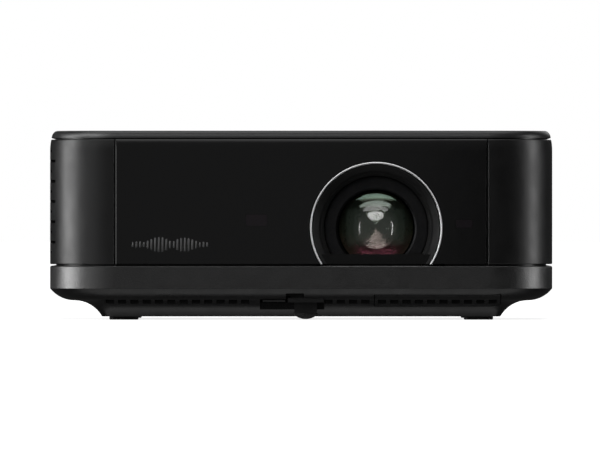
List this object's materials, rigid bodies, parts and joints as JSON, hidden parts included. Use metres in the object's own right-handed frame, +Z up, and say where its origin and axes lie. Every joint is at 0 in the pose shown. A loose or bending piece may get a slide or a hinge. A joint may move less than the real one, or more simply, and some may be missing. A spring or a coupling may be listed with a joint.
{
  "type": "home projector",
  "caption": "Compact black home projector: rounded box body, glossy front with an offset round lens, grained base band, slotted sides, ports behind and an extending front foot.",
  "frame": {"origin": "on the ground under the middle of the body", "axes": "+Z up, the front with the lens faces -Y, +X is to the right for a viewer facing the front"},
  "size_m": [0.19, 0.192, 0.0714],
  "materials": {
    "top_shell": "fine satin black",
    "side_shell": "satin black",
    "band": "grained matte black",
    "base_shell": "matte black",
    "front_gloss": "glossy black",
    "rear_shell": "matte black",
    "cloth": "fine black mesh cloth",
    "window": "infrared-dark smoked plastic",
    "trim_ring": "bright turned edge",
    "bezel": "light-trap matte black",
    "cell": "black anodised",
    "glass": "coated optical glass",
    "barrel": "matte black",
    "gear_plastic": "ivory acetal",
    "gear_brass": "hobbed",
    "motor_steel": "zinc plated",
    "chassis_metal": "die-cast magnesium grey",
    "prism_glass": "polished optical glass",
    "panel_glass": "polished panel glass",
    "lamp": "milled carrier",
    "sink": "extruded",
    "copper": "copper, drawn",
    "fan_black": "moulded",
    "fan_grey": "moulded",
    "speaker_body": "moulded",
    "speaker_metal": "black zinc",
    "cone": "woven and coated",
    "board": "green solder mask",
    "chip": "moulded packages, metal cans",
    "socket_steel": "nickel plated",
    "socket_plastic": "moulded",
    "button": "satin black",
    "light_pipe": "milky clear",
    "foot_plastic": "satin black",
    "lever_plastic": "satin dark grey",
    "rubber": "matte",
    "steel": "black oxide worn at the recess",
    "filter": "open-cell foam",
    "thread_brass": "turned"
  },
  "bodies": {
    "projector": {"bottom_case": "base_shell", "base_band": "band", "left_side_panel": "side_shell", "right_side_panel": "side_shell", "front_panel": "front_gloss", "rear_panel": "rear_shell", "top_cover": "top_shell", "grille_cloths": "cloth", "sensor_modules": "chip", "ir_window": "window", "camera_window": "window", "lens_ring": "trim_ring", "lens_bezel": "bezel", "lens_barrel": "barrel", "inner_lens_holder": "barrel", "inner_lenses": "glass", "focus_motor": "motor_steel", "optical_chassis": "chassis_metal", "prism_cube": "prism_glass", "lcd_panels": "panel_glass", "condenser_lenses": "glass", "led_modules": "lamp", "heatsink": "sink", "heat_pipes": "copper", "intake_fan_frame": "fan_black", "exhaust_fan_frame": "fan_black", "speaker_boxes": "speaker_body", "speaker_drivers": "speaker_metal", "main_board": "board", "board_components": "chip", "hdmi_socket": "socket_steel", "usb_socket": "socket_steel", "audio_jack": "socket_plastic", "dc_inlet": "socket_plastic", "control_board": "board", "status_light": "light_pipe", "foot_guide": "foot_plastic", "lever_pin": "steel", "foot_pads": "rubber", "tripod_insert": "thread_brass", "case_screws": "steel"},
    "leg": {"foot_leg": "foot_plastic", "foot_tip": "rubber"},
    "lever": {"release_lever": "lever_plastic"},
    "hatch": {"filter_cover": "base_shell", "air_filter": "filter"},
    "focus_gear": {"focus_ring": "gear_plastic"},
    "pinion": {"focus_pinion": "gear_brass"},
    "front_group": {"front_lens_cell": "cell", "front_lens": "glass"},
    "intake_rotor": {"intake_fan_rotor": "fan_grey"},
    "exhaust_rotor": {"exhaust_fan_rotor": "fan_grey"},
    "left_cone": {"left_speaker_cone": "cone"},
    "right_cone": {"right_speaker_cone": "cone"},
    "power_cap": {"power_button": "button"},
    "source_cap": {"source_button": "button"},
    "volume_down_cap": {"volume_down_button": "button"},
    "volume_up_cap": {"volume_up_button": "button"}
  },
  "joints": [
    {"name": "power_press", "type": "slide", "parent": "projector", "child": "power_cap", "axis": [0, 0, -1], "range_m": [0, 0.0005], "stiffness_N_per_m": 1200, "springref_m": -0.0005},
    {"name": "source_press", "type": "slide", "parent": "projector", "child": "source_cap", "axis": [0, 0, -1], "range_m": [0, 0.0005], "stiffness_N_per_m": 1200, "springref_m": -0.0005},
    {"name": "volume_down_press", "type": "slide", "parent": "projector", "child": "volume_down_cap", "axis": [0, 0, -1], "range_m": [0, 0.0005], "stiffness_N_per_m": 1200, "springref_m": -0.0005},
    {"name": "volume_up_press", "type": "slide", "parent": "projector", "child": "volume_up_cap", "axis": [0, 0, -1], "range_m": [0, 0.0005], "stiffness_N_per_m": 1200, "springref_m": -0.0005},
    {"name": "foot_extend", "type": "slide", "parent": "projector", "child": "leg", "axis": [0, 0, -1], "range_m": [0, 0.016]},
    {"name": "foot_release", "type": "hinge", "parent": "projector", "child": "lever", "pos_m": [-0.008, -0.0825, 0.011], "axis": [0, 1, 0], "range_deg": [0, 10], "stiffness_Nm_per_rad": 0.05, "springref_deg": -5.73},
    {"name": "filter_cover_release", "type": "slide", "parent": "projector", "child": "hatch", "axis": [0, 0, -1], "range_m": [0, 0.015]},
    {"name": "focus_ring_turn", "type": "hinge", "parent": "projector", "child": "focus_gear", "pos_m": [0.0283, -0.07, 0.0346], "axis": [0, 1, 0], "range_deg": [-60, 60]},
    {"name": "focus_pinion_turn", "type": "hinge", "parent": "projector", "child": "pinion", "pos_m": [0.01094, -0.07, 0.05528], "axis": [0, 1, 0], "range_deg": [-330, 330]},
    {"name": "front_lens_focus", "type": "slide", "parent": "projector", "child": "front_group", "axis": [0, -1, 0], "range_m": [-0.00147, 0.00147]},
    {"name": "intake_fan_spin", "type": "hinge", "parent": "projector", "child": "intake_rotor", "pos_m": [0.051, 0.038, 0.0158], "axis": [0, 0, 1], "continuous": true},
    {"name": "exhaust_fan_spin", "type": "hinge", "parent": "projector", "child": "exhaust_rotor", "pos_m": [0.083, 0.04, 0.042], "axis": [1, 0, 0], "continuous": true},
    {"name": "left_cone_move", "type": "slide", "parent": "projector", "child": "left_cone", "axis": [-1, 0, 0], "range_m": [-0.001, 0.001], "stiffness_N_per_m": 1500},
    {"name": "right_cone_move", "type": "slide", "parent": "projector", "child": "right_cone", "axis": [1, 0, 0], "range_m": [-0.001, 0.001], "stiffness_N_per_m": 1500}
  ],
  "couplings": [
    {"joint": "focus_ring_turn", "follows": "front_lens_focus", "rad_per_m": 714.29},
    {"joint": "focus_pinion_turn", "follows": "front_lens_focus", "rad_per_m": -3877.6}
  ]
}
